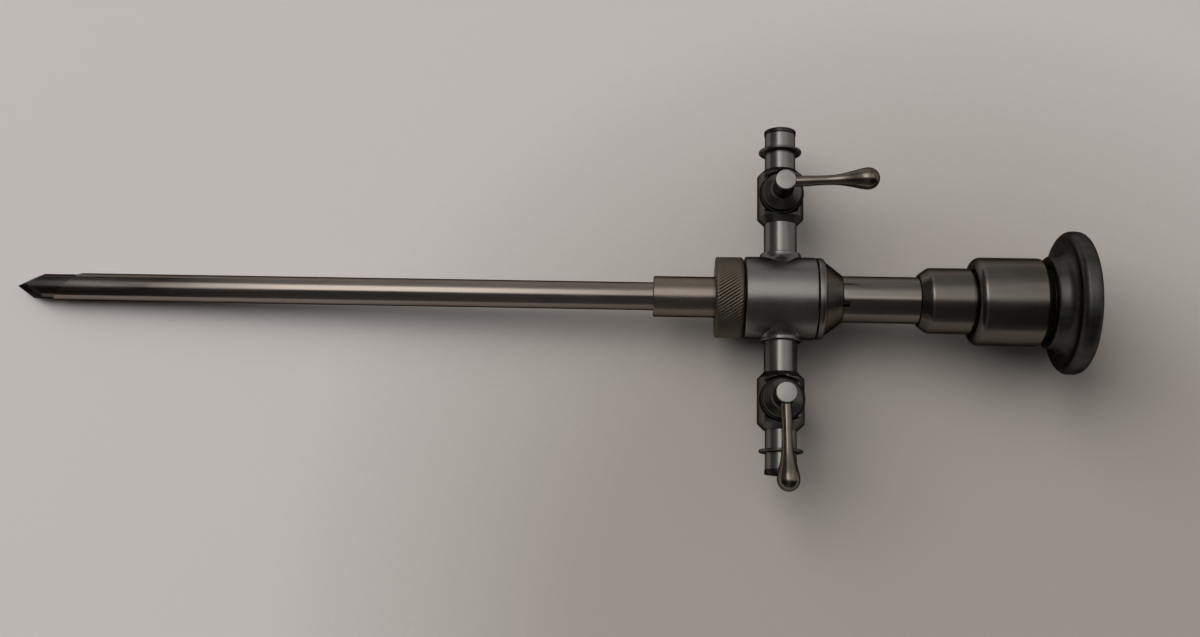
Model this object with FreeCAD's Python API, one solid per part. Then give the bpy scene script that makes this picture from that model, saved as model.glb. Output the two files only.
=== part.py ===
"""Endoscope sheath with its trocar obturator locked in, sizes in millimetres.

The working axis is X: the trocar point is at -X, the palm knob at +X. The irrigation ports run along Y
and the stopcock plugs along Z, with their levers above. The origin is on the axis, at the face of the
collar where the working tube begins.
"""

import FreeCAD, Part
import math
import os

Vector = FreeCAD.Vector
X_AXIS = Vector(1, 0, 0)
Y_AXIS = Vector(0, 1, 0)
Z_AXIS = Vector(0, 0, 1)
AXIS_START = Vector(0, 0, 0)

# Gaps between pieces
BRAZE_GAP = 0.03        # all round in a brazed or screwed joint
RUNNING_GAP = 0.08      # all round a piece that turns or slides in its bore
FACE_GAP = 0.15         # between end faces that turn past each other

# Working tube and its collar
TUBE_OUTER_RADIUS = 3.0
TUBE_WALL = 0.2
TUBE_LENGTH = 130.6     # collar face to the long lip of the slanted end
BEAK_SLANT = 5.2        # how much further the long lip reaches than the short one
TUBE_SEAT = 6.0         # length of tube brazed into the core
SEAT_WALL = 0.5         # the tube is thicker where it is brazed into the collar and core
COLLAR_RADIUS = 4.35
COLLAR_LENGTH = 14.6
COLLAR_CHAMFER = 0.3

# Core, the turned piece that carries the irrigation hub
JOURNAL_RADIUS = 5.5
NOSE_STEP = 0.25        # the threaded nose is smaller than the journal by this
NOSE_LENGTH = 4.25
CORE_TAIL_RADIUS = 4.3
CORE_TAIL_LENGTH = 1.6
CHAMBER_WIDTH = 6.0     # ring groove that the ports open into
CHAMBER_DEPTH = 0.9
CHAMBER_HOLES = 4
CHAMBER_HOLE_RADIUS = 1.1
SEAL_CORD = 1.3         # thickness of the rubber rings
SEAL_SQUEEZE = 0.9      # groove depth as a share of the cord
SEAL_INSET = 2.5        # groove centre to the end of the journal

# Irrigation hub
HUB_RADIUS = 8.5
HUB_LENGTH = 15.9
HUB_CHAMFER = 0.35
BOSS_RADIUS = 4.35
BOSS_HEIGHT = 9.5       # port pad to the working axis
BOSS_FOOT_RADIUS = 6.2  # cone under the pad, at the hub's bore
BOSS_FOOT_DROP = 0.7    # cone's top below the pad
BOSS_FOOT_ROUND = 0.5
BOSS_CHAMFER = 0.25

# Lock nut and its thrust washer
NUT_RADIUS = 8.5
NUT_WALL = 1.1
NUT_COLLAR_GAP = 0.2
NUT_FRONT_CHAMFER = 0.3
NUT_REAR_ROUND = 0.8
WASHER_THICKNESS = 0.35
WASHER_INNER_GAP = 0.25

# Coupling cone behind the hub
CONE_BAND = 0.9
CONE_LENGTH = 4.9
CONE_FRONT_RADIUS = 8.4
CONE_REAR_RADIUS = 5.15
CONE_ROUND = 0.35
COUPLING_BORE_RADIUS = 3.7
PIN_RADIUS = 0.5        # index pin between cone and handle
PIN_CIRCLE_RADIUS = 4.4
PIN_ANGLE = -24.0       # degrees from straight up, towards the outflow side
PIN_SEAT = 1.6
PIN_REACH = 0.9
NOTCH_WIDTH = 1.5
NOTCH_DEPTH = 1.2

# Stopcocks, distances measured from the working axis along Y
NECK_RADIUS = 3.5
SPIGOT_RADIUS = 2.6
SPIGOT_LENGTH = 1.2
FLOW_RADIUS = 1.4
COCK_NEAR = 16.1
COCK_LENGTH = 12.0
COCK_RADIUS = 4.95
COCK_CHAMFER = 1.3
SADDLE_RADIUS = 4.9     # end mill that cuts the flat for the plug's head
SADDLE_HEIGHT = 3.3     # upper flat above the port axis
SOLE_HEIGHT = 4.4       # lower flat under the port axis
CONNECTOR_LENGTH = 9.2
CONNECTOR_RADIUS = 3.2
MOUTH_RADIUS = 2.05
MOUTH_DEPTH = 7.5
MOUTH_CHAMFER = 0.25
LIP_HEIGHT = 0.15
LIP_LENGTH = 0.9
FLANGE_RADIUS = 4.6
FLANGE_THICKNESS = 0.8
FLANGE_PLACE = 4.8      # flange centre back from the mouth

# Plug, lever and what holds the plug down
PLUG_TOP_RADIUS = 3.1
PLUG_TAPER = 0.045      # loss of radius for each millimetre down
PLUG_HOLE_RADIUS = 1.3
HEAD_RADIUS = 4.1
HEAD_LIFT = 1.1         # head clear of the flat
HEAD_RIM = 1.0
HEAD_CONE = 1.2
STEM_RADIUS = 2.15
STEM_TOP = 13.2
STEM_CHAMFER = 0.25
PLUG_THREAD_RADIUS = 1.5
PLUG_THREAD_LENGTH = 3.1
SPRING_RADIUS = 3.1
SPRING_THICKNESS = 0.3
SPRING_DISH = 0.25
NUT_ACROSS_FLATS = 5.8
NUT_HEIGHT = 2.1
NUT_CHAMFER = 0.3

LEVER_HEIGHT = 11.5
LEVER_TILT = 5.0        # degrees up from level
LEVER_REACH = 19.7
LEVER_SEAT = 1.85       # counterbore in the stem starts this far out
LEVER_PIN_RADIUS = 0.75
LEVER_PIN_START = 0.6
LEVER_ROOT_RADIUS = 1.25
LEVER_WAIST_RADIUS = 0.8
LEVER_BULB_RADIUS = 2.25
INFLOW_LEVER_ANGLE = 1.5      # along +X, closed
OUTFLOW_LEVER_ANGLE = -88.0   # along the port, open

# Obturator
ROD_GAP = 0.1           # all round the rod inside the tube
POINT_REACH = 8.7       # trocar point beyond the long lip
POINT_SLOPE = 23.0      # degrees between each facet and the axis
TIP_LENGTH = 17.3
TIP_SPIGOT_RADIUS = 1.3
TIP_SPIGOT_LENGTH = 3.5
COUPLING_COLLAR_LENGTH = 3.3
SNAP_CORD = 0.5
NOSE_SEAL_CORD = 1.0

# Handle
HANDLE_NECK_RADIUS = 4.95
HANDLE_NECK_LENGTH = 15.6
FERRULE_START_RADIUS = 5.45
FERRULE_RADIUS = 6.95
FERRULE_CHAMFER = 2.0
FERRULE_LENGTH = 11.0
FERRULE_SPIGOT_RADIUS = 4.0
UNDERCUT_WIDTH = 0.5
UNDERCUT_DEPTH = 0.4
GRIP_RADIUS = 9.15
GRIP_LENGTH = 15.3
GRIP_ROUND = 1.8
GRIP_REAR_CHAMFER = 1.6
GRIP_REAR_DROP = 0.95
HANDLE_SEAT = 4.0       # length of each spigot in the handle
ROD_END = 6.0           # rod inside the grip
GROOVE_RADIUS = 7.7
GROOVE_WIDTH = 0.35
DRUM_RADIUS = 9.75
DRUM_LENGTH = 4.9
DRUM_ROUND = 0.5
DISC_RADIUS = 15.0
COVE_ROUND = 3.0        # hollow between drum and disc
DISC_SWEEP = 1.35       # rim stands in front of the dish's root by this
DISC_THICKNESS = 3.85   # front lip to the back
LIP_ROUND = 0.5
PALM_ROUND = 2.6        # the back edge that the palm rests on
DOME_HEIGHT = 0.5
STUD_RADIUS = 2.5
STUD_REACH = 4.5

# Places that follow from the sizes above
TUBE_BORE_RADIUS = TUBE_OUTER_RADIUS - TUBE_WALL
TUBE_SEAT_RADIUS = TUBE_BORE_RADIUS + SEAT_WALL
CORE_START = COLLAR_LENGTH
JOURNAL_START = CORE_START + NOSE_LENGTH
HUB_START = JOURNAL_START + FACE_GAP
HUB_END = HUB_START + HUB_LENGTH
PORT_X = (HUB_START + HUB_END) / 2
CONE_START = HUB_END + FACE_GAP
CONE_END = CONE_START + CONE_LENGTH
NOSE_RADIUS = JOURNAL_RADIUS - NOSE_STEP
HUB_BORE_RADIUS = JOURNAL_RADIUS + RUNNING_GAP
COUPLING_START = CONE_START + CORE_TAIL_LENGTH
COCK_CENTRE = COCK_NEAR + COCK_LENGTH / 2
COCK_FAR = COCK_NEAR + COCK_LENGTH
MOUTH = COCK_FAR + CONNECTOR_LENGTH
ROD_RADIUS = TUBE_BORE_RADIUS - ROD_GAP
TIP_POINT = -TUBE_LENGTH - POINT_REACH
TIP_END = TIP_POINT + TIP_LENGTH
HANDLE_START = CONE_END + BRAZE_GAP
FERRULE_START = HANDLE_START + HANDLE_NECK_LENGTH
GRIP_START = FERRULE_START + FERRULE_LENGTH
GRIP_END = GRIP_START + GRIP_LENGTH
KNOB_START = GRIP_END
DRUM_START = KNOB_START + GROOVE_WIDTH
DISC_ROOT = DRUM_START + DRUM_LENGTH
DISC_FRONT = DISC_ROOT - DISC_SWEEP
DISC_BACK = DISC_FRONT + DISC_THICKNESS


def setbacks_of(corners):
    """How far from each corner its rounding starts, so that neighbouring roundings fit on their edge."""
    wanted = []
    for i, (here, radius) in enumerate(corners):
        back = corners[i - 1][0] - here
        ahead = corners[(i + 1) % len(corners)][0] - here
        half = back.getAngle(ahead) / 2
        straight = radius <= 0 or half > math.radians(89)
        wanted.append(0 if straight else radius / math.tan(half))
    setbacks = []
    for i in range(len(corners)):
        share = 1
        for j in (i - 1, (i + 1) % len(corners)):
            room = 0.96 * corners[i][0].distanceToPoint(corners[j][0])
            if wanted[i] + wanted[j] > room:
                share = min(share, room / (wanted[i] + wanted[j]))
        setbacks.append(wanted[i] * share)
    return setbacks


def rounded_edges(corners):
    """Edges of a closed outline through corners, each a point and the radius that rounds it."""
    setbacks = setbacks_of(corners)
    starts, ends, bends = [], [], []
    for i, (here, _) in enumerate(corners):
        back = corners[i - 1][0] - here
        ahead = corners[(i + 1) % len(corners)][0] - here
        if setbacks[i] == 0:
            starts.append(here)
            ends.append(here)
            bends.append(None)
            continue
        half = back.getAngle(ahead) / 2
        radius = setbacks[i] * math.tan(half)
        back.normalize()
        ahead.normalize()
        middle = back + ahead
        middle.normalize()
        starts.append(here + back * setbacks[i])
        ends.append(here + ahead * setbacks[i])
        bends.append(here + middle * (radius / math.sin(half) - radius))
    edges = []
    for i in range(len(corners)):
        if bends[i] is not None:
            edges.append(Part.Arc(starts[i], bends[i], ends[i]).toShape())
        following = starts[(i + 1) % len(corners)]
        if ends[i].distanceToPoint(following) > 1e-6:
            edges.append(Part.LineSegment(ends[i], following).toShape())
    return edges


def turned(outline, start=AXIS_START, along=X_AXIS, across=Y_AXIS):
    """Turned piece. Each corner of outline is its place along the axis, its radius and its rounding."""
    corners = []
    for place, radius, *rounding in outline:
        point = start + along * place + across * radius
        corners.append((point, rounding[0] if rounding else 0))
    face = Part.Face(Part.Wire(rounded_edges(corners)))
    return face.revolve(start, along, 360)


def rod(radius, first, last, start=AXIS_START, along=X_AXIS):
    """Plain round bar between two places on an axis."""
    return Part.makeCylinder(radius, last - first, start + along * first, along)


def ring(inner, outer, first, last, start=AXIS_START, along=X_AXIS, across=Y_AXIS):
    """Plain ring between two places on an axis."""
    outline = [(first, inner), (first, outer), (last, outer), (last, inner)]
    return turned(outline, start, along, across)


def rubber_ring(centre_radius, cord, place):
    """Round-cord ring about the working axis."""
    return Part.makeTorus(centre_radius, cord / 2, X_AXIS * place, X_AXIS)


# Sheath

def sheath_tube():
    last = CORE_START + TUBE_SEAT
    tube = turned([
        (-TUBE_LENGTH, TUBE_BORE_RADIUS),
        (-TUBE_LENGTH, TUBE_OUTER_RADIUS),
        (0, TUBE_OUTER_RADIUS),
        (0, TUBE_SEAT_RADIUS),
        (last, TUBE_SEAT_RADIUS),
        (last, TUBE_BORE_RADIUS),
    ])
    reach = 2 * TUBE_OUTER_RADIUS
    slope = BEAK_SLANT / (2 * TUBE_OUTER_RADIUS)
    middle = -TUBE_LENGTH + BEAK_SLANT / 2
    corners = [
        Vector(-TUBE_LENGTH - reach, reach, -reach),
        Vector(middle + slope * reach, reach, -reach),
        Vector(middle - slope * reach, -reach, -reach),
        Vector(-TUBE_LENGTH - reach, -reach, -reach),
    ]
    wedge = Part.Face(Part.makePolygon(corners + corners[:1])).extrude(Z_AXIS * 2 * reach)
    return tube.cut(wedge)


def shaft_collar():
    bore = TUBE_SEAT_RADIUS + BRAZE_GAP
    return turned([
        (0, bore),
        (0, COLLAR_RADIUS, COLLAR_CHAMFER),
        (CORE_START, COLLAR_RADIUS),
        (CORE_START, bore),
    ])


def seal_places():
    """Centres of the two hub seals along the axis."""
    return JOURNAL_START + SEAL_INSET, CONE_START - SEAL_INSET


def sheath_core():
    seat = CORE_START + TUBE_SEAT
    core = turned([
        (CORE_START, TUBE_SEAT_RADIUS + BRAZE_GAP),
        (CORE_START, NOSE_RADIUS, COLLAR_CHAMFER),
        (JOURNAL_START, NOSE_RADIUS),
        (JOURNAL_START, JOURNAL_RADIUS),
        (CONE_START, JOURNAL_RADIUS),
        (CONE_START, CORE_TAIL_RADIUS),
        (COUPLING_START, CORE_TAIL_RADIUS),
        (COUPLING_START, TUBE_BORE_RADIUS),
        (seat, TUBE_BORE_RADIUS),
        (seat, TUBE_SEAT_RADIUS + BRAZE_GAP),
    ])
    outside = JOURNAL_RADIUS + 1
    floor = JOURNAL_RADIUS - SEAL_CORD * SEAL_SQUEEZE
    for place in seal_places():
        core = core.cut(ring(floor, outside, place - SEAL_CORD / 2, place + SEAL_CORD / 2))
    half = CHAMBER_WIDTH / 2
    core = core.cut(ring(JOURNAL_RADIUS - CHAMBER_DEPTH, outside, PORT_X - half, PORT_X + half))
    for i in range(CHAMBER_HOLES):
        turn = 2 * math.pi * i / CHAMBER_HOLES
        outward = Vector(0, math.cos(turn), math.sin(turn))
        core = core.cut(rod(CHAMBER_HOLE_RADIUS, 0, outside, X_AXIS * PORT_X, outward))
    seal_room = COUPLING_START - NOSE_SEAL_CORD
    return core.cut(ring(0, TUBE_BORE_RADIUS + NOSE_SEAL_CORD * SEAL_SQUEEZE, seal_room, COUPLING_START))


def hub_seal(place):
    """Rubber ring that bridges the groove in the core and the hub's bore."""
    floor = JOURNAL_RADIUS - SEAL_CORD * SEAL_SQUEEZE
    outer = HUB_BORE_RADIUS - BRAZE_GAP
    cord = outer - floor - BRAZE_GAP
    return rubber_ring(floor + BRAZE_GAP + cord / 2, cord, place)


def rod_seal():
    """Rubber ring at the tail of the core that wipes the rod."""
    outer = TUBE_BORE_RADIUS + NOSE_SEAL_CORD * SEAL_SQUEEZE - BRAZE_GAP
    cord = outer - ROD_RADIUS - BRAZE_GAP
    return rubber_ring(outer - cord / 2, cord, COUPLING_START - NOSE_SEAL_CORD / 2)


def pin_direction():
    turn = math.radians(PIN_ANGLE)
    return Vector(0, math.sin(turn), math.cos(turn))


def coupling_cone():
    cone = turned([
        (CONE_START, CORE_TAIL_RADIUS + BRAZE_GAP),
        (CONE_START, CONE_FRONT_RADIUS, COLLAR_CHAMFER),
        (CONE_START + CONE_BAND, CONE_FRONT_RADIUS, CONE_ROUND),
        (CONE_END, CONE_REAR_RADIUS),
        (CONE_END, COUPLING_BORE_RADIUS),
        (COUPLING_START, COUPLING_BORE_RADIUS),
        (COUPLING_START, CORE_TAIL_RADIUS + BRAZE_GAP),
    ])
    place = pin_direction() * PIN_CIRCLE_RADIUS
    return cone.cut(rod(PIN_RADIUS + BRAZE_GAP, CONE_END - PIN_SEAT, CONE_END + 1, place))


def index_pin():
    first = CONE_END - PIN_SEAT + BRAZE_GAP
    return rod(PIN_RADIUS, first, CONE_END + PIN_REACH, pin_direction() * PIN_CIRCLE_RADIUS)


# Lock nut

def lock_nut():
    first = CORE_START - WASHER_THICKNESS - 2 * BRAZE_GAP - NUT_WALL
    last = JOURNAL_START - BRAZE_GAP
    thread = NOSE_RADIUS + RUNNING_GAP
    return turned([
        (first, COLLAR_RADIUS + NUT_COLLAR_GAP),
        (first, NUT_RADIUS, NUT_FRONT_CHAMFER),
        (last, NUT_RADIUS, NUT_REAR_ROUND),
        (last, thread),
        (first + NUT_WALL, thread),
        (first + NUT_WALL, COLLAR_RADIUS + NUT_COLLAR_GAP),
    ])


def thrust_washer():
    last = CORE_START - BRAZE_GAP
    inner = COLLAR_RADIUS + WASHER_INNER_GAP
    return ring(inner, NOSE_RADIUS, last - WASHER_THICKNESS, last)


# Irrigation hub and stopcock housings

def port_side(side):
    """Start and direction of the port axis on one side of the hub."""
    return X_AXIS * PORT_X, Y_AXIS * side


def irrigation_hub():
    hub = turned([
        (HUB_START, HUB_BORE_RADIUS),
        (HUB_START, HUB_RADIUS, HUB_CHAMFER),
        (HUB_END, HUB_RADIUS, HUB_CHAMFER),
        (HUB_END, HUB_BORE_RADIUS),
    ])
    for side in (1, -1):
        start, outward = port_side(side)
        boss = turned([
            (HUB_BORE_RADIUS, 0),
            (HUB_BORE_RADIUS, BOSS_FOOT_RADIUS),
            (BOSS_HEIGHT - BOSS_FOOT_DROP, BOSS_RADIUS, BOSS_FOOT_ROUND),
            (BOSS_HEIGHT, BOSS_RADIUS, BOSS_CHAMFER),
            (BOSS_HEIGHT, 0),
        ], start, outward, X_AXIS)
        hub = hub.fuse(boss)
    hub = hub.cut(rod(HUB_BORE_RADIUS, HUB_START, HUB_END))
    for side in (1, -1):
        start, outward = port_side(side)
        socket = SPIGOT_LENGTH + BRAZE_GAP
        hub = hub.cut(rod(SPIGOT_RADIUS + BRAZE_GAP, BOSS_HEIGHT - socket, BOSS_HEIGHT + 1, start, outward))
        hub = hub.cut(rod(FLOW_RADIUS, 0, BOSS_HEIGHT + 1, start, outward))
    return hub.removeSplitter()


def cock_neck(side):
    return turned([
        (BOSS_HEIGHT - SPIGOT_LENGTH, FLOW_RADIUS),
        (BOSS_HEIGHT - SPIGOT_LENGTH, SPIGOT_RADIUS),
        (BOSS_HEIGHT, SPIGOT_RADIUS),
        (BOSS_HEIGHT, NECK_RADIUS),
        (COCK_NEAR, NECK_RADIUS),
        (COCK_NEAR, SPIGOT_RADIUS),
        (COCK_NEAR + SPIGOT_LENGTH, SPIGOT_RADIUS),
        (COCK_NEAR + SPIGOT_LENGTH, FLOW_RADIUS),
    ], *port_side(side), X_AXIS)


def plug_axis(side):
    return Vector(PORT_X, side * COCK_CENTRE, 0)


def plug_radius(height):
    """Radius of the tapered plug at a height over the port axis."""
    return PLUG_TOP_RADIUS - PLUG_TAPER * (SADDLE_HEIGHT - height)


def cock_body(side):
    start, outward = port_side(side)
    body = turned([
        (COCK_NEAR, 0),
        (COCK_NEAR, COCK_RADIUS - COCK_CHAMFER),
        (COCK_NEAR + COCK_CHAMFER, COCK_RADIUS, COLLAR_CHAMFER),
        (COCK_FAR - COCK_CHAMFER, COCK_RADIUS, COLLAR_CHAMFER),
        (COCK_FAR, COCK_RADIUS - COCK_CHAMFER),
        (COCK_FAR, 0),
    ], start, outward, X_AXIS)
    centre = plug_axis(side)
    body = body.cut(rod(SADDLE_RADIUS, SADDLE_HEIGHT, COCK_RADIUS + 1, centre, Z_AXIS))
    body = body.cut(rod(SADDLE_RADIUS, -COCK_RADIUS - 1, -SOLE_HEIGHT, centre, Z_AXIS))
    top, bottom = SADDLE_HEIGHT + 1, -SOLE_HEIGHT - 1
    body = body.cut(turned([
        (bottom, 0),
        (bottom, plug_radius(bottom) + RUNNING_GAP),
        (top, plug_radius(top) + RUNNING_GAP),
        (top, 0),
    ], centre, Z_AXIS, X_AXIS))
    body = body.cut(rod(FLOW_RADIUS, COCK_NEAR, COCK_FAR, start, outward))
    socket = SPIGOT_LENGTH + BRAZE_GAP
    body = body.cut(rod(SPIGOT_RADIUS + BRAZE_GAP, COCK_NEAR - 1, COCK_NEAR + socket, start, outward))
    return body.cut(rod(SPIGOT_RADIUS + BRAZE_GAP, COCK_FAR - socket, COCK_FAR + 1, start, outward))


def connector(side):
    flange_near = MOUTH - FLANGE_PLACE - FLANGE_THICKNESS / 2
    flange_far = flange_near + FLANGE_THICKNESS
    return turned([
        (COCK_FAR - SPIGOT_LENGTH, FLOW_RADIUS),
        (COCK_FAR - SPIGOT_LENGTH, SPIGOT_RADIUS),
        (COCK_FAR, SPIGOT_RADIUS),
        (COCK_FAR, CONNECTOR_RADIUS),
        (flange_near, CONNECTOR_RADIUS),
        (flange_near, FLANGE_RADIUS, FLANGE_THICKNESS / 3),
        (flange_far, FLANGE_RADIUS, FLANGE_THICKNESS / 3),
        (flange_far, CONNECTOR_RADIUS),
        (MOUTH - LIP_LENGTH - LIP_HEIGHT, CONNECTOR_RADIUS),
        (MOUTH - LIP_LENGTH, CONNECTOR_RADIUS + LIP_HEIGHT),
        (MOUTH, CONNECTOR_RADIUS + LIP_HEIGHT, LIP_HEIGHT),
        (MOUTH, MOUTH_RADIUS, MOUTH_CHAMFER),
        (MOUTH - MOUTH_DEPTH, MOUTH_RADIUS),
        (MOUTH - MOUTH_DEPTH - (MOUTH_RADIUS - FLOW_RADIUS), FLOW_RADIUS),
    ], *port_side(side), X_AXIS)


# Turning pieces of a stopcock

def lever_line(side, angle):
    """Start and direction of a lever, and a direction square to it."""
    turn, tilt = math.radians(angle), math.radians(LEVER_TILT)
    level = Vector(math.cos(turn), math.sin(turn), 0)
    along = level * math.cos(tilt) + Z_AXIS * math.sin(tilt)
    across = Z_AXIS * math.cos(tilt) - level * math.sin(tilt)
    return plug_axis(side) + Z_AXIS * LEVER_HEIGHT, along, across


def plug(side, angle):
    head = SADDLE_HEIGHT + HEAD_LIFT
    foot = -SOLE_HEIGHT + BRAZE_GAP
    body = turned([
        (-SOLE_HEIGHT - PLUG_THREAD_LENGTH, 0),
        (-SOLE_HEIGHT - PLUG_THREAD_LENGTH, PLUG_THREAD_RADIUS, STEM_CHAMFER),
        (foot, PLUG_THREAD_RADIUS),
        (foot, plug_radius(foot)),
        (head, plug_radius(head)),
        (head, HEAD_RADIUS, STEM_CHAMFER),
        (head + HEAD_RIM, HEAD_RADIUS, STEM_CHAMFER),
        (head + HEAD_RIM + HEAD_CONE, STEM_RADIUS, 2 * STEM_CHAMFER),
        (STEM_TOP, STEM_RADIUS, STEM_CHAMFER),
        (STEM_TOP, 0),
    ], plug_axis(side), Z_AXIS, X_AXIS)
    turn = math.radians(angle)
    level = Vector(math.cos(turn), math.sin(turn), 0)
    body = body.cut(rod(PLUG_HOLE_RADIUS, -COCK_RADIUS, COCK_RADIUS, plug_axis(side), level))
    start, along, _ = lever_line(side, angle)
    reach = 2 * STEM_RADIUS
    body = body.cut(rod(LEVER_PIN_RADIUS + BRAZE_GAP, LEVER_PIN_START - BRAZE_GAP, reach, start, along))
    return body.cut(rod(LEVER_ROOT_RADIUS + BRAZE_GAP, LEVER_SEAT - BRAZE_GAP, reach, start, along))


def lever(side, angle):
    """Slim waisted lever with a drop-shaped end, turned about its own line."""
    start, along, across = lever_line(side, angle)

    def at(place, radius):
        return start + along * place + across * radius

    bulb = LEVER_REACH - LEVER_BULB_RADIUS
    root = STEM_RADIUS + LEVER_ROOT_RADIUS / 2
    waist = (root + bulb) * 0.47
    swell = (waist + bulb) * 0.53
    flank = Part.BSplineCurve()
    flank.interpolate([
        at(root, LEVER_ROOT_RADIUS),
        at((root + waist) / 2, (LEVER_ROOT_RADIUS + 3 * LEVER_WAIST_RADIUS) / 4),
        at(waist, LEVER_WAIST_RADIUS),
        at(swell, (3 * LEVER_WAIST_RADIUS + 2 * LEVER_BULB_RADIUS) / 5),
        at(bulb, LEVER_BULB_RADIUS),
    ], InitialTangent=along, FinalTangent=along)
    slant = LEVER_BULB_RADIUS * math.sqrt(0.5)
    edges = [
        Part.LineSegment(at(LEVER_PIN_START, 0), at(LEVER_PIN_START, LEVER_PIN_RADIUS)),
        Part.LineSegment(at(LEVER_PIN_START, LEVER_PIN_RADIUS), at(LEVER_SEAT, LEVER_PIN_RADIUS)),
        Part.LineSegment(at(LEVER_SEAT, LEVER_PIN_RADIUS), at(LEVER_SEAT, LEVER_ROOT_RADIUS)),
        Part.LineSegment(at(LEVER_SEAT, LEVER_ROOT_RADIUS), at(root, LEVER_ROOT_RADIUS)),
        flank,
        Part.Arc(at(bulb, LEVER_BULB_RADIUS), at(bulb + slant, slant), at(LEVER_REACH, 0)),
        Part.LineSegment(at(LEVER_REACH, 0), at(LEVER_PIN_START, 0)),
    ]
    wire = Part.Wire([edge.toShape() for edge in edges])
    return Part.Face(wire).revolve(start, along, 360)


def spring_washer(side):
    """Dished washer that draws the plug down into its taper."""
    inner = PLUG_THREAD_RADIUS + RUNNING_GAP
    top = -SOLE_HEIGHT - BRAZE_GAP
    return turned([
        (top - SPRING_DISH, inner),
        (top - SPRING_DISH - SPRING_THICKNESS, inner),
        (top - SPRING_THICKNESS, SPRING_RADIUS),
        (top, SPRING_RADIUS),
    ], plug_axis(side), Z_AXIS, X_AXIS)


def plug_nut(side):
    """Small hexagon nut under the plug."""
    top = -SOLE_HEIGHT - 2 * BRAZE_GAP - SPRING_DISH - SPRING_THICKNESS
    centre = plug_axis(side) + Z_AXIS * top
    corner = NUT_ACROSS_FLATS / math.sqrt(3)
    corners = []
    for i in range(6):
        turn = math.pi * i / 3
        corners.append(centre + Vector(corner * math.cos(turn), corner * math.sin(turn), 0))
    hexagon = Part.Face(Part.makePolygon(corners + corners[:1])).extrude(Z_AXIS * -NUT_HEIGHT)
    blank = turned([
        (0, 0),
        (0, corner),
        (-NUT_HEIGHT, corner, NUT_CHAMFER),
        (-NUT_HEIGHT, 0),
    ], centre, Z_AXIS, X_AXIS)
    hole = rod(PLUG_THREAD_RADIUS + BRAZE_GAP, -NUT_HEIGHT - 1, 1, centre, Z_AXIS)
    return hexagon.common(blank).cut(hole)


# Obturator

def trocar_tip():
    """Round bar ground to a three-sided point, one edge upwards."""
    bar = rod(ROD_RADIUS, TIP_POINT, TIP_END)
    reach = 2 * TIP_LENGTH * math.tan(math.radians(POINT_SLOPE))
    apex = X_AXIS * TIP_POINT
    base = []
    for i in range(3):
        turn = 2 * math.pi * i / 3
        base.append(Vector(TIP_END, reach * math.sin(turn), reach * math.cos(turn)))
    faces = [Part.Face(Part.makePolygon(base + base[:1]))]
    for i in range(3):
        following = base[(i + 1) % 3]
        faces.append(Part.Face(Part.makePolygon([apex, base[i], following, apex])))
    pyramid = Part.Solid(Part.Shell(faces))
    if pyramid.Volume < 0:
        pyramid.reverse()
    spigot = rod(TIP_SPIGOT_RADIUS, TIP_END - 1, TIP_END + TIP_SPIGOT_LENGTH)
    return bar.common(pyramid).fuse(spigot).removeSplitter()


def obturator_rod():
    last = GRIP_START + ROD_END
    bar = rod(ROD_RADIUS, TIP_END, last)
    return bar.cut(rod(TIP_SPIGOT_RADIUS + BRAZE_GAP, TIP_END - 1, TIP_END + TIP_SPIGOT_LENGTH + BRAZE_GAP))


def collar_place():
    """First and last place of the coupling collar along the axis."""
    last = HANDLE_START
    return last - COUPLING_COLLAR_LENGTH, last


def coupling_collar():
    first, last = collar_place()
    outer = COUPLING_BORE_RADIUS - RUNNING_GAP
    inner = ROD_RADIUS + BRAZE_GAP
    collar = turned([
        (first, inner),
        (first, outer, COLLAR_CHAMFER),
        (last, outer),
        (last, inner),
    ])
    middle = (first + last) / 2
    floor = outer - SNAP_CORD * SEAL_SQUEEZE
    return collar.cut(ring(floor, outer + 1, middle - SNAP_CORD / 2, middle + SNAP_CORD / 2))


def snap_ring():
    """Wire ring in the collar that holds the obturator in the coupling."""
    first, last = collar_place()
    outer = COUPLING_BORE_RADIUS - BRAZE_GAP
    floor = COUPLING_BORE_RADIUS - RUNNING_GAP - SNAP_CORD * SEAL_SQUEEZE + BRAZE_GAP
    cord = min(outer - floor, SNAP_CORD - BRAZE_GAP)
    return rubber_ring(outer - cord / 2, cord, (first + last) / 2)


def handle_neck():
    inner = ROD_RADIUS + BRAZE_GAP
    neck = turned([
        (HANDLE_START, inner),
        (HANDLE_START, HANDLE_NECK_RADIUS, COLLAR_CHAMFER / 2),
        (FERRULE_START, HANDLE_NECK_RADIUS),
        (FERRULE_START, FERRULE_SPIGOT_RADIUS),
        (FERRULE_START + HANDLE_SEAT, FERRULE_SPIGOT_RADIUS),
        (FERRULE_START + HANDLE_SEAT, inner),
    ])
    out = pin_direction()
    side = X_AXIS.cross(out)
    half = NOTCH_WIDTH / 2
    corner = out * (PIN_CIRCLE_RADIUS - half) - side * half + X_AXIS * (HANDLE_START - 1)
    width, reach = side * NOTCH_WIDTH, out * (HANDLE_NECK_RADIUS + 1)
    base = [corner, corner + width, corner + width + reach, corner + reach, corner]
    notch = Part.Face(Part.makePolygon(base)).extrude(X_AXIS * (NOTCH_DEPTH + 1))
    return neck.cut(notch)


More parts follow.
